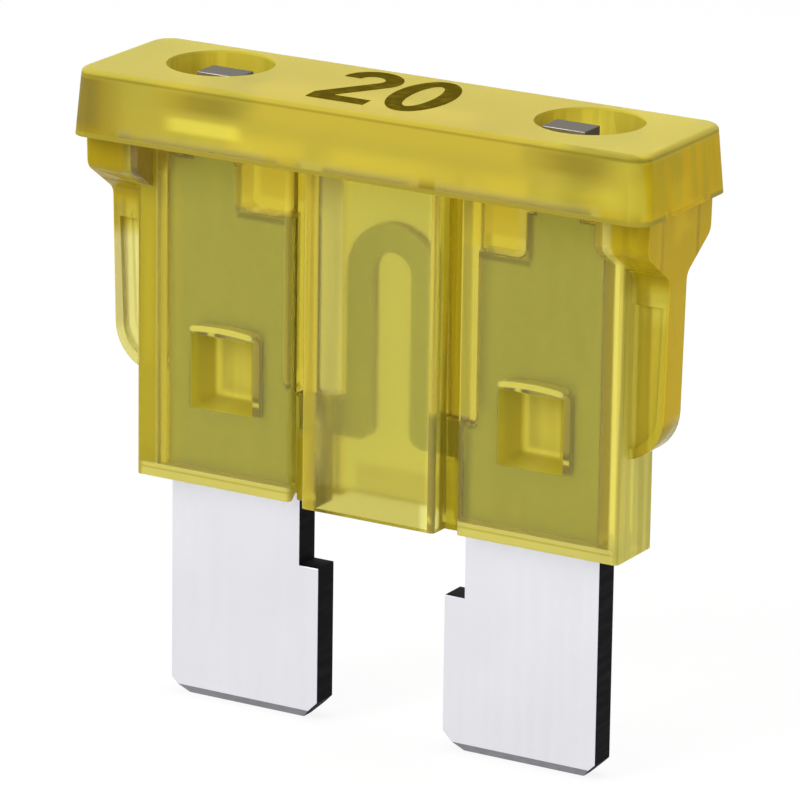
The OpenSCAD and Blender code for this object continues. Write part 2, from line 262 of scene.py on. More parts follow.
class StageSettings(bpy.types.PropertyGroup):
    """Camera, lamps and floor"""

    azimuth: angle("Azimuth", "Camera angle round the fuse", 30.22)
    elevation: angle("Elevation", "Camera angle above the horizon", 16.89)
    roll: angle("Roll", "Camera roll", 0.81)
    distance: length("Distance", "Distance from the camera to its target", 183.3 * MM)
    target_z: length("Target Height", "Height of the camera's target", 10.4 * MM)
    aside: length("Aside", "Shift of the target to the camera's right", 0.25 * MM)
    above: length("Above", "Shift of the target to the camera's top", -0.15 * MM)
    lens: FloatProperty(name="Lens", description="Focal length", default=283.6, unit="CAMERA")
    floor_size: length("Floor Size", "Side of the square floor", 0.8)
    floor: colour("Floor", "Colour of the floor", (0.8, 0.8, 0.8))
    floor_white: share("Floor White", "How much of the floor the camera sees as plain white", 0.85)
    floor_glow: number("Floor Glow", "Brightness of that white", 1.03)
    sky: share("Sky", "Strength of the light from all round", 0.65)
    key: number("Key Lamp", "Power of the lamp in front, in watts", 0.14)
    overhead: number("Overhead Lamp", "Power of the lamp above, in watts", 0.09)


# Mesh tools

def piece_from(mesh, name):
    """A new object at the origin that holds the bmesh"""
    data = bpy.data.meshes.new(name)
    mesh.to_mesh(data)
    mesh.free()
    made = bpy.data.objects.new(name, data)
    bpy.context.scene.collection.objects.link(made)
    return made


def merged_copy(node):
    """A CAD node's mesh with its loose triangles joined and each flat face made whole"""
    mesh = bmesh.new()
    mesh.from_mesh(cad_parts[node].data)
    bmesh.ops.remove_doubles(mesh, verts=mesh.verts, dist=MERGE_DISTANCE)
    bmesh.ops.dissolve_limit(mesh, angle_limit=FLAT_ANGLE, verts=mesh.verts, edges=mesh.edges)
    return mesh


def round_edges(mesh, width, chosen):
    """Round the sharp outward edges that the chosen test lets through"""
    sharp = [
        edge
        for edge in mesh.edges
        if len(edge.link_faces) == 2
        and edge.is_convex
        and edge.calc_face_angle() > SHARP_ANGLE
        and chosen(edge)
    ]
    bmesh.ops.bevel(
        mesh,
        geom=sharp,
        offset=width,
        offset_type="OFFSET",
        segments=2,
        profile=0.5,
        affect="EDGES",
        clamp_overlap=True,
        material=-1,
    )


def draw_nought(mesh, look, x):
    """A flat figure 0 with its middle at x"""
    ring = bmesh.ops.create_circle(mesh, segments=48, radius=1)["verts"]
    outline = list({edge for vert in ring for edge in vert.link_edges})
    shape = Matrix.Diagonal((look.width / 2, look.height / 2, 1, 1))
    bmesh.ops.transform(mesh, matrix=shape, verts=ring)
    grown = bmesh.ops.extrude_edge_only(mesh, edges=outline)["geom"]
    inner = [part for part in grown if isinstance(part, bmesh.types.BMVert)]
    narrow = (look.width / 2 - look.stroke) / (look.width / 2)
    short = (look.height / 2 - look.stroke) / (look.height / 2)
    bmesh.ops.scale(mesh, vec=(narrow, short, 1), verts=inner)
    bmesh.ops.translate(mesh, vec=(x, 0, 0), verts=ring + inner)


def draw_two(mesh, look, x):
    """A flat figure 2 with its middle at x: a bowl, a straight diagonal and a foot"""
    stroke, half_w, half_h = look.stroke, look.width / 2, look.height / 2
    bowl = Vector((0, half_h - half_w, 0))
    known = set(mesh.verts)
    ends = [mesh.verts.new((-half_w, bowl.y, 0)), mesh.verts.new((stroke - half_w, bowl.y, 0))]
    first = mesh.edges.new(ends)
    turned = math.radians(-215)
    swept = bmesh.ops.spin(
        mesh, geom=[*ends, first], cent=bowl, axis=(0, 0, 1), angle=turned, steps=28, use_duplicate=False
    )
    last = [part for part in swept["geom_last"] if isinstance(part, bmesh.types.BMVert)]
    outer, inner = sorted(last, key=lambda vert: -(vert.co - bowl).length)
    way = Vector((0, 0, 1)).cross(bowl - outer.co).normalized()
    inside = mesh.verts.new(outer.co + way * ((stroke - half_h - outer.co.y) / way.y))
    tip = mesh.verts.new(inner.co + way * ((-half_h - inner.co.y) / way.y))
    mesh.faces.new((outer, inside, tip, inner))
    end_low = mesh.verts.new((half_w, -half_h, 0))
    end_high = mesh.verts.new((half_w, stroke - half_h, 0))
    mesh.faces.new((inside, end_high, end_low, tip))
    drawn = [vert for vert in mesh.verts if vert not in known]
    parts = set(drawn)
    parts.update(edge for vert in drawn for edge in vert.link_edges)
    parts.update(face for vert in drawn for face in vert.link_faces)
    left = (-half_w, 0, 0)
    bmesh.ops.bisect_plane(mesh, geom=list(parts), plane_co=left, plane_no=(-1, 0, 0), clear_outer=True)
    drawn = [vert for vert in mesh.verts if vert not in known]
    bmesh.ops.translate(mesh, vec=(x, 0, 0), verts=drawn)


def smooth_shade(made):
    """Smooth shading that keeps the sharp edges sharp and the flat faces flat"""
    made.data.shade_smooth()
    made.data.set_sharp_from_angle(angle=SMOOTH_ANGLE)
    weighted = made.modifiers.new("Flat faces stay flat", "WEIGHTED_NORMAL")
    weighted.keep_sharp = True


# Material tools

def add(tree, kind, inputs=None, **settings):
    """A new node, with each input set to a value or linked to another node's socket"""
    node = tree.nodes.new(kind)
    for name, value in settings.items():
        setattr(node, name, value)
    for key, value in (inputs or {}).items():
        fill(tree, node.inputs[key], value)
    return node


def fill(tree, socket, value):
    if isinstance(value, bpy.types.NodeSocket):
        tree.links.new(value, socket)
    else:
        socket.default_value = value


def empty_tree(owner):
    """The node tree of a new material or world, with nothing in it"""
    owner.use_nodes = True
    owner.node_tree.nodes.clear()
    return owner.node_tree


def new_material(name):
    """A new material, its node tree, and the socket that gives a point's place on the part"""
    material = bpy.data.materials.new(name)
    tree = empty_tree(material)
    return material, tree, add(tree, "ShaderNodeTexCoord").outputs["Object"]


def shade_with(tree, tone, roughness, normal=None, **others):
    """Give the material a Principled surface; the others are its further inputs"""
    inputs = {"Base Color": tone, "Roughness": roughness}
    if normal is not None:
        inputs["Normal"] = normal
    for name, value in others.items():
        inputs[name.replace("_", " ")] = value
    surface = add(tree, "ShaderNodeBsdfPrincipled", inputs).outputs[0]
    return add(tree, "ShaderNodeOutputMaterial", {"Surface": surface})


def noise(tree, point, scale, detail):
    inputs = {"Vector": point, "Scale": scale, "Detail": detail}
    return add(tree, "ShaderNodeTexNoise", inputs).outputs["Fac"]


def stretched(tree, point, scale):
    return add(tree, "ShaderNodeMapping", {"Vector": point, "Scale": scale}).outputs[0]


def bump(tree, height, strength):
    inputs = {"Height": height, "Strength": strength, "Distance": BUMP_DEPTH}
    return add(tree, "ShaderNodeBump", inputs).outputs["Normal"]


def separate(tree, point):
    return add(tree, "ShaderNodeSeparateXYZ", {0: point}).outputs


def math_node(tree, operation, first, second=0.0):
    return add(tree, "ShaderNodeMath", {0: first, 1: second}, operation=operation).outputs[0]


def opaque(rgb):
    return (*rgb, 1.0)


def scaled(rgb, factor):
    return tuple(factor * c for c in rgb)


def mix_colours(tree, factor, first, second):
    """The first colour turning into the second, each a socket or plain red, green and blue"""
    node = add(tree, "ShaderNodeMix", data_type="RGBA")
    sockets = {socket.name: socket for socket in node.inputs if socket.enabled}
    fill(tree, sockets["Factor"], factor)
    for name, value in (("A", first), ("B", second)):
        fill(tree, sockets[name], value if isinstance(value, bpy.types.NodeSocket) else opaque(value))
    return next(socket for socket in node.outputs if socket.enabled)


def ramp(tree, value, low, high, to_low=0.0, to_high=1.0):
    inputs = {"Value": value, "From Min": low, "From Max": high, "To Min": to_low, "To Max": to_high}
    return add(tree, "ShaderNodeMapRange", inputs, interpolation_type="SMOOTHSTEP").outputs["Result"]


def above(tree, value, limit, soft):
    """1 over the limit and 0 under it, with an edge that is soft to this far on both sides"""
    return ramp(tree, value, limit - soft, limit + soft)


def below(tree, value, limit, soft):
    """1 under the limit and 0 over it, with an edge that is soft to this far on both sides"""
    return ramp(tree, value, limit - soft, limit + soft, 1, 0)


def between(tree, value, low, high, soft):
    """1 between the limits, with soft edges"""
    return all_of(tree, above(tree, value, low, soft), below(tree, value, high, soft))


def all_of(tree, *masks):
    product = masks[0]
    for mask in masks[1:]:
        product = math_node(tree, "MULTIPLY", product, mask)
    return product


def any_of(tree, *masks):
    most = masks[0]
    for mask in masks[1:]:
        most = math_node(tree, "MAXIMUM", most, mask)
    return most


def lay_colours(tree, colours, layers):
    """Lay each colour over those before it, where its mask is 1"""
    for mask, over in layers:
        colours = mix_colours(tree, mask, colours, over)
    return colours


def lay_values(tree, value, layers):
    """Lay each value over those before it, where its mask is 1"""
    for mask, over in layers:
        value = ramp(tree, mask, 0, 1, value, over)
    return value


# Masks of the housing: each is 1 where the plastic has that look, and 0 elsewhere

def measure(tree, look, point):
    """The measures that the masks are drawn by, at each point of the housing"""
    parts = separate(tree, point)
    facing = math_node(tree, "SIGN", parts["Y"])
    across = math_node(tree, "ABSOLUTE", parts["X"])
    walls = math_node(tree, "ADD", parts["X"], math_node(tree, "MULTIPLY", facing, look.wall_aside))
    drop = math_node(tree, "SUBTRACT", HEAD_Z, parts["Z"])
    lean = math_node(tree, "MULTIPLY", drop, look.wing_slope)
    return SimpleNamespace(
        x=parts["X"],
        y=parts["Y"],
        height=parts["Z"],
        across=across,
        depth=math_node(tree, "ABSOLUTE", parts["Y"]),
        facing=facing,
        ahead=math_node(tree, "MULTIPLY", parts["X"], facing),
        walls=math_node(tree, "ABSOLUTE", walls),
        upright=math_node(tree, "ADD", across, lean),
        hole_along=past_nearer(tree, parts["X"], look.hole_x),
        stake_along=past_nearer(tree, parts["X"], look.stake_x),
    )


def past_nearer(tree, x, place):
    """How far a point lies to the right of the nearer one of a pair at this distance from the middle"""
    nearer = math_node(tree, "MULTIPLY", math_node(tree, "SIGN", x), place)
    return math_node(tree, "SUBTRACT", x, nearer)


def mark_ends(tree, look, at, mask):
    """The end walls and the strips of painted highlight and painted shade beside them, the ears, and the
    wings, the left with painted light and the right with painted shade
    """
    column_in, column_out, step_y = 0.98 * MM, 1.15 * MM, 0.97 * MM
    strip_in, strip_out = look.wall_x - 0.48 * MM, look.wall_x
    side_in, side_out = look.wall_x + 0.20 * MM, look.wall_x + 0.50 * MM
    fade_low, fade_high = look.ear_z - 7.5 * MM, look.ear_z - 3.0 * MM
    left_x, right_in, right_out = -8.2 * MM, -8.1 * MM, -8.6 * MM
    mask.on_column = between(tree, at.depth, column_in, column_out, soft=0.03 * MM)
    mask.end_wall = above(tree, at.across, look.wall_x + 0.075 * MM, soft=0.075 * MM)
    mask.strip = between(tree, at.walls, strip_in, strip_out, soft=0.08 * MM)
    rim = above(tree, at.walls, look.wall_x + 0.025 * MM, soft=0.075 * MM)
    mask.rim = all_of(tree, rim, mask.on_column)
    side = between(tree, at.across, side_in, side_out, soft=0.05 * MM)
    mask.side = all_of(tree, side, below(tree, at.depth, step_y, soft=0.03 * MM))
    ear = above(tree, at.across, look.ear_x, soft=0.2 * MM)
    mask.ear = all_of(tree, ear, above(tree, at.height, look.ear_z, soft=0.4 * MM))
    outer = above(tree, at.upright, look.end_x + 0.64 * MM, soft=0.04 * MM)
    mask.ear_side = all_of(tree, outer, ramp(tree, at.height, fade_low, fade_high))
    under_ear = below(tree, at.height, look.ear_z - 0.9 * MM, soft=0.3 * MM)
    # Painted light on the left wing, and painted shade on the right wing
    mask.left_wing = all_of(tree, under_ear, below(tree, at.x, left_x, soft=0.2 * MM))
    mask.right_wing = all_of(tree, under_ear, ramp(tree, at.ahead, right_out, right_in, 0.7, 0))


def mark_window(tree, look, at, mask):
    """The window box's panes with their painted highlight and amber edge, its side walls with painted light
    inside and painted shade next to the webs, and the webs beside it
    """
    strip_in, strip_out = 0.90 * MM, 1.62 * MM
    edge_in, edge_out = 1.76 * MM, 2.40 * MM
    low_edge_in, low_edge_out = 1.15 * MM, 1.85 * MM
    seam_in, seam_out, inside_y = 0.64 * MM, 1.0 * MM, 0.94 * MM
    inside_in, inside_out = look.box_x - 0.15 * MM, look.box_x - 0.03 * MM
    on_pane = above(tree, at.depth, look.pane_y, soft=0.025 * MM)
    by_pane = above(tree, at.depth, look.pane_y - 0.03 * MM, soft=0.025 * MM)
    mask.pane_strip = all_of(
        tree,
        between(tree, at.ahead, strip_in, strip_out, soft=0.10 * MM),
        above(tree, at.height, look.waist_z + 0.20 * MM, soft=0.20 * MM),
        on_pane,
    )
    edge = between(tree, at.ahead, edge_in, edge_out, soft=0.12 * MM)
    low_edge = all_of(
        tree,
        ramp(tree, at.ahead, low_edge_in, low_edge_out, 0, 0.8),
        below(tree, at.height, look.waist_z - 0.45 * MM, soft=0.55 * MM),
        above(tree, at.height, BODY_Z + 1.25 * MM, soft=0.75 * MM),
    )
    mask.pane_edge = all_of(tree, any_of(tree, edge, low_edge), by_pane)
    mask.pane_foot = all_of(
        tree,
        below(tree, at.height, BODY_Z + 0.875 * MM, soft=0.175 * MM),
        below(tree, at.across, look.box_x - 0.15 * MM, soft=0.10 * MM),
        on_pane,
    )
    mask.box_side = between(tree, at.across, look.box_x, look.web_x, soft=0.04 * MM)
    mask.seam = all_of(tree, mask.box_side, between(tree, at.depth, seam_in, seam_out, soft=0.05 * MM))
    inside = between(tree, at.across, inside_in, inside_out, soft=0.02 * MM)
    mask.inside = all_of(tree, inside, below(tree, at.depth, inside_y, soft=0.02 * MM))
    mask.web = between(tree, at.across, look.web_x, look.column_x, soft=0.05 * MM)
    mask.low_web = all_of(tree, mask.web, below(tree, at.height, BODY_Z + 2.15 * MM, soft=0.25 * MM))


def mark_columns(tree, look, at, mask):
    """The strips of painted highlight and painted shade beside the blades' waists, and the painted highlight
    on the thinned rims round the slots' mouths with a dark line of painted shade
    """
    near_in, near_out = -look.column_x - 0.50 * MM, -look.column_x + 0.1 * MM
    far_in, far_out = look.column_x - 0.1 * MM, look.column_x + 0.25 * MM
    line_low, line_high = BODY_Z + 0.25 * MM, BODY_Z + 0.30 * MM
    over_waist = above(tree, at.height, look.waist_z + 0.125 * MM, soft=0.125 * MM)
    near = between(tree, at.ahead, near_in, near_out, soft=0.08 * MM)
    far = between(tree, at.ahead, far_in, far_out, soft=0.08 * MM)
    mask.near_waist = all_of(tree, near, over_waist, mask.on_column)
    mask.far_waist = all_of(tree, far, over_waist, mask.on_column)
    column = between(tree, at.across, look.column_x, look.wall_x + 0.2 * MM, soft=0.1 * MM)
    mask.mouth = all_of(tree, column, below(tree, at.height, BODY_Z + look.mouth_h, soft=0.05 * MM))
    line = between(tree, at.height, line_low, line_high, soft=0.03 * MM)
    mask.mouth_line = all_of(tree, column, line, look.shade_line_share)


def mark_notches(tree, look, at, mask):
    """The thick corner in the notch beside each blade's top, and the dark line of painted shade round it"""
    notch_in, notch_out = look.column_x, look.notch_x - 0.05 * MM
    beside_in, beside_out = look.notch_x, look.notch_x + 0.16 * MM
    under_in, under_out = 3.1 * MM, look.notch_x + 0.1 * MM
    body_y, blade_y = 1.20 * MM, 0.62 * MM
    mask.notch = all_of(
        tree,
        between(tree, at.across, notch_in, notch_out, soft=0.12 * MM),
        above(tree, at.height, look.notch_z + 0.275 * MM, soft=0.125 * MM),
        below(tree, at.depth, body_y, soft=0.05 * MM),
    )
    beside = all_of(
        tree,
        between(tree, at.across, beside_in, beside_out, soft=0.06 * MM),
        above(tree, at.height, look.notch_z, soft=0.1 * MM),
    )
    under = all_of(
        tree,
        between(tree, at.across, under_in, under_out, soft=0.06 * MM),
        between(tree, at.height, look.notch_z - 0.18 * MM, look.notch_z, soft=0.06 * MM),
    )
    near_blade = below(tree, at.depth, blade_y, soft=0.02 * MM)
    mask.notch_line = all_of(tree, any_of(tree, beside, under), near_blade)


def mark_stakes(tree, look, at, mask):
    """The pits that the staking punch left, with painted shade in them that is darker on their sloping
    sides, and the painted highlight on the lips over them
    """
    floor_x, floor_z, lip_x = 0.60 * MM, -0.86 * MM, 1.05 * MM
    lip_low, lip_high = look.stake_reach + 0.11 * MM, look.stake_reach + 0.28 * MM
    beside = math_node(tree, "ABSOLUTE", at.stake_along)
    over = math_node(tree, "SUBTRACT", at.height, look.stake_z)
    away = math_node(tree, "MAXIMUM", beside, math_node(tree, "ABSOLUTE", over))
    pit = below(tree, away, look.stake_reach + 0.05 * MM, soft=0.05 * MM)
    mask.pit = all_of(tree, pit, below(tree, at.depth, look.stake_depth, soft=0.03 * MM))
    left = below(tree, at.stake_along, -floor_x, soft=0.06 * MM)
    right = above(tree, at.stake_along, floor_x, soft=0.06 * MM)
    low = below(tree, over, floor_z, soft=0.06 * MM)
    mask.pit_sides = all_of(tree, mask.pit, any_of(tree, left, right, low))
    bow = math_node(tree, "MULTIPLY", math_node(tree, "MULTIPLY", beside, beside), look.lip_bow)
    lip = between(tree, math_node(tree, "ADD", over, bow), lip_low, lip_high, soft=0.06 * MM)
    mask.lip = all_of(tree, lip, below(tree, beside, lip_x, soft=0.15 * MM))


def mark_holes(tree, look, at, mask):
    """The test holes, and the shadow and the bright band below each on the head's faces"""
    shadow_low, shadow_high = TOP_Z - 0.78 * MM, TOP_Z - 0.22 * MM
    shadow_in, shadow_out = 0.3 * MM, 2.2 * MM
    glint_low, glint_high = TOP_Z - 1.40 * MM, TOP_Z - 0.98 * MM
    glint_x, strong_x, weak_x = 1.2 * MM, -4 * MM, 6 * MM
    back = math_node(tree, "SUBTRACT", at.y, look.hole_y)
    away = add(tree, "ShaderNodeCombineXYZ", {"X": at.hole_along, "Y": back}).outputs[0]
    away = add(tree, "ShaderNodeVectorMath", {0: away}, operation="LENGTH").outputs["Value"]
    mask.hole = all_of(
        tree,
        below(tree, away, look.hole_r, soft=0.025 * MM),
        below(tree, at.height, TOP_Z - 0.07 * MM, soft=0.03 * MM),
        above(tree, at.height, TOP_Z - look.hole_h, soft=0.05 * MM),
    )
    mask.face = above(tree, at.depth, look.face_y, soft=0.05 * MM)
    aside = math_node(tree, "ADD", at.x, math_node(tree, "MULTIPLY", at.facing, look.hole_aside))
    aside = math_node(tree, "SUBTRACT", math_node(tree, "ABSOLUTE", aside), look.hole_x)
    aside = math_node(tree, "ABSOLUTE", aside)
    shadow = between(tree, at.height, shadow_low, shadow_high, soft=0.16 * MM)
    mask.shadow = all_of(tree, shadow, mask.face, ramp(tree, aside, shadow_in, shadow_out, 0.9, 0))
    glint = between(tree, at.height, glint_low, glint_high, soft=0.12 * MM)
    weaker_right = ramp(tree, at.x, strong_x, weak_x, 1, 0.15)
    under_hole = below(tree, aside, glint_x, soft=0.4 * MM)
    mask.glint = all_of(tree, glint, mask.face, under_hole, weaker_right)


def mark_head(tree, look, at, mask):
    """The head, its ends, the painted highlight at the ends of its top, the painted shade at its left end,
    at the right-hand end of its faces and along its lower edge, and the dark line of painted shade round its
    top
    """
    line_low, line_high = TOP_Z - 0.20 * MM, TOP_Z - 0.13 * MM
    brim_low, brim_high, brim_y = HEAD_Z - 0.05 * MM, HEAD_Z + 0.14 * MM, 1.3 * MM
    top_in, top_out = 4.0 * MM, 8.0 * MM
    end_shade_in, end_shade_out = -6.4 * MM, -7.6 * MM
    shade_x, rim_x = -8.2 * MM, 9.15 * MM
    mask.head = above(tree, at.height, HEAD_Z + 0.20 * MM, soft=0.35 * MM)
    on_top = above(tree, at.height, TOP_Z - 0.085 * MM, soft=0.035 * MM)
    under_top = below(tree, at.height, TOP_Z - 0.21 * MM, soft=0.09 * MM)
    mask.top_end = all_of(tree, on_top, ramp(tree, at.across, top_in, top_out, 0, 0.5))
    mask.end = all_of(tree, under_top, above(tree, at.across, look.end_x - 0.5 * MM, soft=0.9 * MM))
    mask.face_end_shade = all_of(tree, mask.face, ramp(tree, at.ahead, end_shade_out, end_shade_in, 0.75, 0))
    shade = all_of(tree, under_top, below(tree, at.x, shade_x, soft=0.8 * MM))
    mask.shade = all_of(tree, shade, ramp(tree, mask.glint, 0, 1, 1, 0))
    round_rim = any_of(tree, mask.face, above(tree, at.across, rim_x, soft=0.05 * MM))
    line = between(tree, at.height, line_low, line_high, soft=0.03 * MM)
    mask.top_line = all_of(tree, line, round_rim, look.shade_line_share)
    brim = between(tree, at.height, brim_low, brim_high, soft=0.04 * MM)
    mask.brim = all_of(tree, brim, above(tree, at.depth, brim_y, soft=0.1 * MM))


# Materials

def body_colours(tree, look, at, mask, streaks):
    wall_streaks = ramp(tree, streaks, 0.42, 0.62)
    side_streaks = ramp(tree, streaks, 0.44, 0.62, 0, 0.35)
    wall = mix_colours(tree, wall_streaks, look.wall_plastic, look.wall_streak_and_wing_shade)
    side = mix_colours(tree, side_streaks, look.side_plastic, look.rim_shade_and_side_streak)
    web = mix_colours(tree, ramp(tree, at.ahead, -1 * MM, 1 * MM), look.web_shade, look.web_plastic)
    punched = mix_colours(tree, streaks, look.pit_side_shade, look.lip_highlight)
    punched = mix_colours(tree, look.punched_streaks, look.pit_shade, punched)
    layers = (
        (mask.end_wall, wall),
        (mask.box_side, look.box_plastic),
        (mask.seam, look.seam_shade),
        (mask.inside, look.inner_face_highlight),
        (mask.pane_foot, look.pane_foot),
        (mask.strip, look.strip_highlight),
        (mask.rim, look.rim_shade_and_side_streak),
        (mask.near_waist, look.waist_highlight),
        (mask.far_waist, look.waist_shade),
        (mask.side, side),
        (mask.pane_strip, look.pane_highlight),
        (mask.pane_edge, look.pane_amber),
        (mask.web, web),
        (mask.low_web, look.low_web),
        (mask.right_wing, look.wall_streak_and_wing_shade),
        (mask.left_wing, look.left_wing_highlight),
        (mask.ear, look.ear_plastic),
        (mask.ear_side, look.ear_side),
        (mask.notch, look.notch_plastic),
        (mask.notch_line, look.shade_line_colour),
        (mask.mouth, look.mouth_highlight),
        (mask.mouth_line, look.shade_line_colour),
        (mask.pit, punched),
        (mask.pit_sides, look.pit_side_shade),
        (mask.lip, look.lip_highlight),
    )
    return lay_colours(tree, look.plastic, layers)


def head_colours(tree, look, at, mask, streaks):
    end = mix_colours(tree, ramp(tree, streaks, 0.30, 0.70), look.end_plastic, look.end_streak)
    across_hole = ramp(tree, at.hole_along, -1 * MM, 1 * MM)
    hole_streaks = ramp(tree, streaks, 0.42, 0.58, 0, 0.3)
    hole = mix_colours(tree, across_hole, look.hole_lit_side, look.hole_shaded_side)
    hole = mix_colours(tree, hole_streaks, hole, look.shade_line_colour)
    layers = (
        (mask.end, end),
        (mask.top_end, look.glint_plastic),
        (mask.face_end_shade, look.face_end_shade),
        (mask.shade, look.shade_plastic),
        (mask.shadow, look.shadow_plastic),
        (mask.glint, look.glint_plastic),
        (mask.hole, hole),
        (mask.top_line, look.shade_line_colour),
    )
    return lay_colours(tree, look.head_plastic, layers)


def plastic_clearness(tree, look, mask, marked):
    waists = any_of(tree, mask.near_waist, mask.far_waist)
    panes = any_of(tree, mask.pane_strip, mask.pane_edge)
    sides = any_of(tree, mask.side, mask.low_web)
    holes = any_of(tree, mask.hole, mask.glint)
    body_layers = (
        (mask.end_wall, look.wall_clearness),
        (mask.box_side, look.box_clearness),
        (mask.inside, look.inner_clearness),
        (mask.notch, look.notch_clearness),
        (waists, look.waist_clearness),
        (panes, look.pane_clearness),
        (sides, look.side_clearness),
        (mask.ear, look.end_clearness),
        (mask.ear_side, look.ear_clearness),
        (marked, look.marked_clearness),
    )
    head_layers = ((mask.end, look.end_clearness), (holes, look.hole_clearness))
    body = lay_values(tree, look.clearness, body_layers)
    head = lay_values(tree, look.head_clearness, head_layers)
    return ramp(tree, mask.head, 0, 1, body, head)


def moulded_plastic(look):
    """Yellow plastic, whose colour and clearness change with the place on the part, with painted highlights
    and painted shade among its colours
    """
    material, tree, point = new_material("translucent_yellow_plastic")
    streaks = noise(tree, stretched(tree, point, (1, 1, 0.03)), scale=2600, detail=2)
    flow = noise(tree, point, scale=500, detail=3)
    grain = noise(tree, point, scale=9000, detail=2)

    at = measure(tree, look, point)
    mask = SimpleNamespace()
    for mark in (mark_ends, mark_window, mark_columns, mark_notches, mark_stakes, mark_holes, mark_head):
        mark(tree, look, at, mask)
    marked = any_of(tree, mask.pit, mask.lip, mask.mouth, mask.rim, mask.brim)

    body = body_colours(tree, look, at, mask, streaks)
    head = head_colours(tree, look, at, mask, streaks)
    layers = ((mask.head, head), (mask.brim, look.brim_shade))
    glossy = ramp(tree, flow, 0.3, 0.7, 0.16, 0.24)
    output = shade_with(
        tree,
        tone=lay_colours(tree, body, layers),
        roughness=lay_values(tree, glossy, ((marked, look.marked_rough), (mask.head, look.head_frost))),
        normal=bump(tree, grain, strength=0.04),
        Transmission_Weight=plastic_clearness(tree, look, mask, marked),
        IOR=1.35,
        Specular_IOR_Level=0.05,
        Specular_Tint=(1.0, 0.88, 0.35, 1),
    )
    soaked = {"Color": opaque(look.depth_colour), "Density": look.depth_density}
    fill(tree, output.inputs["Volume"], add(tree, "ShaderNodeVolumeAbsorption", soaked).outputs[0])
    return material


def plated_metal(look):
    """Satin plated faces, tinted and darkened as painted shade where they lie inside the plastic, and
    darkened further as painted shade on the tabs in a test hole
    """
    material, tree, point = new_material("plated_faces")
    rolled = noise(tree, stretched(tree, point, (1, 1, 0.04)), scale=4000, detail=3)
    cloud = noise(tree, point, scale=300, detail=2)
    height = separate(tree, point)["Z"]
    housed = above(tree, height, BODY_Z + 0.45 * MM, soft=0.15 * MM)
    in_hole = above(tree, height, TOP_Z - look.tab_z, soft=0.10 * MM)
    bare = mix_colours(tree, ramp(tree, cloud, 0.3, 0.7), look.face, scaled(look.face, 0.96))
    shade_with(
        tree,
        tone=lay_colours(tree, bare, ((housed, look.housed), (in_hole, look.tab_face_shade))),
        roughness=ramp(tree, rolled, 0.3, 0.7, 0.32, 0.46),
        normal=bump(tree, rolled, strength=0.06),
        Metallic=0.9,
    )
    return material


def sheared_metal(look):
    """Dark stamped edges; inside the plastic they are painted bright as a painted highlight with rims of
    painted shade, and in the test holes dark grey as painted shade
    """
    material, tree, point = new_material("sheared_edges")
    streaks = noise(tree, stretched(tree, point, (1, 0.1, 1)), scale=5000, detail=3)
    parts = separate(tree, point)
    depth = math_node(tree, "ABSOLUTE", parts["Y"])
    housed = above(tree, parts["Z"], BODY_Z + 0.1 * MM, soft=0.2 * MM)
    in_hole = above(tree, parts["Z"], TOP_Z - look.tab_z, soft=0.10 * MM)
    bare = mix_colours(tree, ramp(tree, streaks, 0.4, 0.8), look.cut_edge, scaled(look.cut_edge, 3))
    rim = above(tree, depth, look.rolled_y, soft=0.06 * MM)
    banded = mix_colours(tree, rim, look.housed_edge_highlight, look.edge_rim_shade)
    shade_with(
        tree,
        tone=lay_colours(tree, bare, ((housed, banded), (in_hole, look.tab_end_shade))),
        roughness=0.7,
        normal=bump(tree, streaks, strength=0.2),
        Metallic=0.0,
        Specular_IOR_Level=0.05,
    )
    return material


def coined_metal(look):
    """The dull bevels that the stamping press left at the blades' tips, painted dark as painted shade on
    these downward faces
    """
    material, tree, point = new_material("coined_tips")
    marks = noise(tree, point, scale=2500, detail=3)
    shade_with(
        tree,
        tone=mix_colours(tree, ramp(tree, marks, 0.35, 0.7), look.coined, scaled(look.coined, 0.85)),
        roughness=0.45,
        normal=bump(tree, marks, strength=0.1),
        Metallic=0.9,
    )
    return material


def printed_ink(look):
    """Matt brown ink, a little worn"""
    material, tree, point = new_material("rating_ink")
    grain = noise(tree, point, scale=3000, detail=3)
    worn = scaled(look.ink, 1.6)
    tone = mix_colours(tree, ramp(tree, grain, 0.45, 0.75), look.ink, worn)
    shade_with(tree, tone, roughness=0.6, Specular_IOR_Level=0.0)
    return material


class MakeHousing(bpy.types.Operator):
    """Make the moulded housing, with rounded edges and translucent plastic"""

    bl_idname = "blade_fuse.housing"
    bl_label = "Moulded Housing"

    def execute(self, context):
        look = context.scene.fuse_housing
        mesh = merged_copy("housing")

        def on_outside(edge):
            middle = (edge.verts[0].co + edge.verts[1].co) / 2
            return (
                abs(middle.y) > look.inner_depth
                or abs(middle.x) > look.inner_reach
                or middle.z > HEAD_Z + HEAD_H / 2
            )

        round_edges(mesh, look.edge_round, on_outside)
        made = piece_from(mesh, "moulded_housing")
        made.data.materials.append(moulded_plastic(look))
        smooth_shade(made)
        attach(made, "root")
        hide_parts("housing")
        return {"FINISHED"}


class MakeElement(bpy.types.Operator):
    """Make the stamped element, with satin faces and dark cut edges"""

    bl_idname = "blade_fuse.element"
    bl_label = "Stamped Element"

    # The slots of the edges' and the tips' metal, and the least part of a normal that counts as facing a way
    sheared = 1
    coined = 2
    facing = 0.2

    def execute(self, context):
        look = context.scene.fuse_element
        mesh = merged_copy("fuse_element")
        for face in mesh.faces:
            if abs(face.normal.y) < self.facing:
                face.material_index = self.sheared
            elif face.normal.z < -self.facing:
                face.material_index = self.coined
        round_edges(mesh, look.edge_round, lambda edge: True)
        made = piece_from(mesh, "stamped_element")
        made.data.materials.append(plated_metal(look))
        made.data.materials.append(sheared_metal(look))
        made.data.materials.append(coined_metal(look))
        smooth_shade(made)
        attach(made, "root")
        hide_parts("fuse_element")
        return {"FINISHED"}


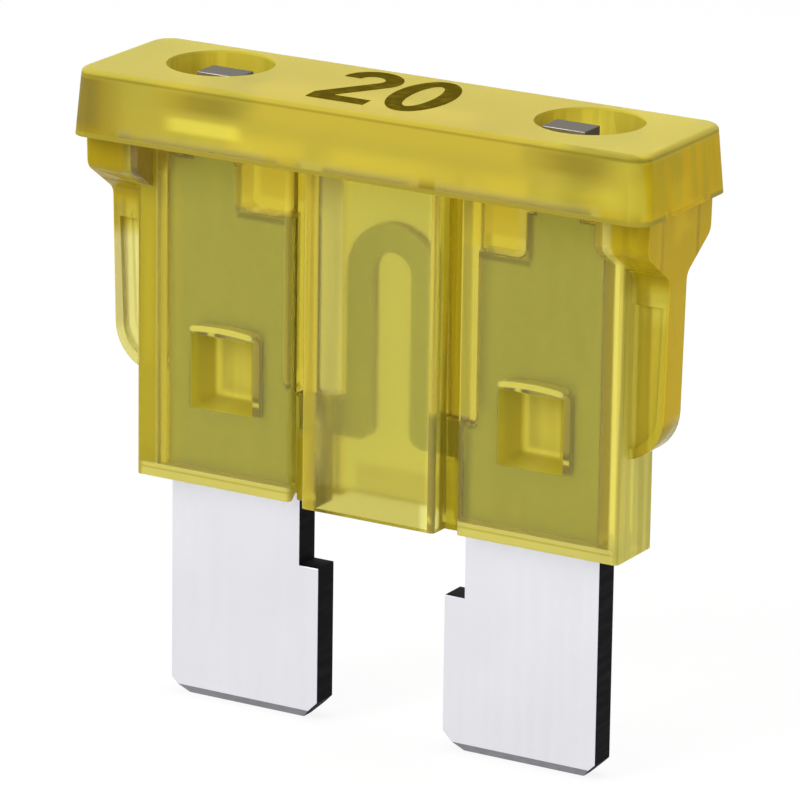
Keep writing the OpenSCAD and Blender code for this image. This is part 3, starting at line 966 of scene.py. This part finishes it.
class MakeRating(bpy.types.Operator):
    """Print the rating on top of the head"""

    bl_idname = "blade_fuse.rating"
    bl_label = "Printed Rating"

    def execute(self, context):
        look = context.scene.fuse_rating
        mesh = bmesh.new()
        step = (look.width + look.gap) / 2
        draw_two(mesh, look, -step)
        draw_nought(mesh, look, step)
        lean = Matrix(((1, look.lean, 0, 0), (0, 1, 0, 0), (0, 0, 1, 0), (0, 0, 0, 1)))
        bmesh.ops.transform(mesh, matrix=lean, verts=mesh.verts)
        sunk = TOP_Z - look.thickness
        bmesh.ops.translate(mesh, vec=(look.aside, look.back, sunk), verts=mesh.verts)
        raised = bmesh.ops.extrude_face_region(mesh, geom=mesh.faces)
        corners = [part for part in raised["geom"] if isinstance(part, bmesh.types.BMVert)]
        bmesh.ops.translate(mesh, vec=(0, 0, 2 * look.thickness), verts=corners)
        bmesh.ops.recalc_face_normals(mesh, faces=mesh.faces)
        made = piece_from(mesh, "printed_rating")
        made.data.materials.append(printed_ink(look))
        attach(made, "root")
        return {"FINISHED"}


class SetStage(bpy.types.Operator):
    """Set the floor, the lamps and the camera"""

    bl_idname = "blade_fuse.stage"
    bl_label = "Stage"

    def execute(self, context):
        look = context.scene.fuse_stage
        self.lay_floor(look)
        self.light_world(context.scene, look)
        self.hang_lamp(context.scene, "key", Vector((-60, -110, 100)) * MM, 90 * MM, look.key)
        self.hang_lamp(context.scene, "overhead", Vector((10, 20, 150)) * MM, 100 * MM, look.overhead)
        self.place_camera(context.scene, look)
        context.scene.view_settings.view_transform = "Standard"
        return {"FINISHED"}

    def lay_floor(self, look):
        mesh = bmesh.new()
        bmesh.ops.create_grid(mesh, x_segments=1, y_segments=1, size=look.floor_size / 2)
        made = piece_from(mesh, "floor")
        material = bpy.data.materials.new("pale_floor")
        tree = empty_tree(material)
        paint = add(tree, "ShaderNodeBsdfDiffuse", {"Color": opaque(look.floor)})
        glow = add(tree, "ShaderNodeEmission", {"Strength": look.floor_glow})
        white = math_node(tree, "MULTIPLY", self.seen_plainly(tree), look.floor_white)
        both = add(tree, "ShaderNodeMixShader", {0: white, 1: paint.outputs[0], 2: glow.outputs[0]})
        add(tree, "ShaderNodeOutputMaterial", {"Surface": both.outputs[0]})
        made.data.materials.append(material)

    def light_world(self, scene, look):
        world = bpy.data.worlds.new("studio")
        tree = empty_tree(world)
        strength = ramp(tree, self.seen_plainly(tree), 0, 1, look.sky, 1)
        sky = add(tree, "ShaderNodeBackground", {"Color": (1, 1, 1, 1), "Strength": strength})
        add(tree, "ShaderNodeOutputWorld", {"Surface": sky.outputs[0]})
        scene.world = world

    def seen_plainly(self, tree):
        """1 where the camera sees the background itself, also in a reflection or through the plastic"""
        path = add(tree, "ShaderNodeLightPath").outputs
        return any_of(tree, path["Is Camera Ray"], path["Is Transmission Ray"], path["Is Glossy Ray"])

    def hang_lamp(self, scene, name, place, size, power):
        """A round lamp that points at the fuse's middle"""
        lamp = bpy.data.lights.new(name, "AREA")
        lamp.shape = "DISK"
        lamp.size = size
        lamp.energy = power
        made = bpy.data.objects.new(name, lamp)
        scene.collection.objects.link(made)
        middle = Vector((0, 0, 10 * MM))
        made.location = place
        made.rotation_euler = (middle - place).to_track_quat("-Z", "Y").to_euler()

    def place_camera(self, scene, look):
        a, e, r = look.azimuth, look.elevation, look.roll
        right = Vector((math.cos(a), math.sin(a), 0))
        up = Vector((-math.sin(a) * math.sin(e), math.cos(a) * math.sin(e), math.cos(e)))
        back = Vector((math.sin(a) * math.cos(e), -math.cos(a) * math.cos(e), math.sin(e)))
        rolled_right = right * math.cos(r) + up * math.sin(r)
        rolled_up = up * math.cos(r) - right * math.sin(r)
        target = Vector((0, 0, look.target_z)) + rolled_right * look.aside + rolled_up * look.above
        camera = bpy.data.cameras.new("camera")
        camera.lens = look.lens
        camera.clip_start = 10 * MM
        camera.clip_end = 5.0
        made = bpy.data.objects.new("camera", camera)
        scene.collection.objects.link(made)
        turn = Matrix((rolled_right, rolled_up, back)).transposed().to_4x4()
        made.matrix_world = Matrix.Translation(target + back * look.distance) @ turn
        scene.camera = made


class FusePanel(bpy.types.Panel):
    """Lists the pieces of the fuse and its stage"""

    bl_idname = "VIEW3D_PT_blade_fuse"
    bl_label = "Blade Fuse"
    bl_space_type = "VIEW_3D"
    bl_region_type = "UI"
    bl_category = "Blade Fuse"

    def draw(self, context):
        for operator in OPERATORS:
            self.layout.operator(operator.bl_idname)


SETTINGS = {
    "fuse_housing": HousingSettings,
    "fuse_element": ElementSettings,
    "fuse_rating": RatingSettings,
    "fuse_stage": StageSettings,
}
OPERATORS = (MakeHousing, MakeElement, MakeRating, SetStage)
CLASSES = (*SETTINGS.values(), *OPERATORS, FusePanel)


def register():
    for cls in CLASSES:
        bpy.utils.register_class(cls)
    for name, group in SETTINGS.items():
        setattr(bpy.types.Scene, name, PointerProperty(type=group))


def unregister():
    for name in SETTINGS:
        delattr(bpy.types.Scene, name)
    for cls in reversed(CLASSES):
        bpy.utils.unregister_class(cls)


def main():
    register()
    bpy.ops.blade_fuse.housing()
    bpy.ops.blade_fuse.element()
    bpy.ops.blade_fuse.rating()
    bpy.ops.blade_fuse.stage()


if __name__ == "__main__":
    main()
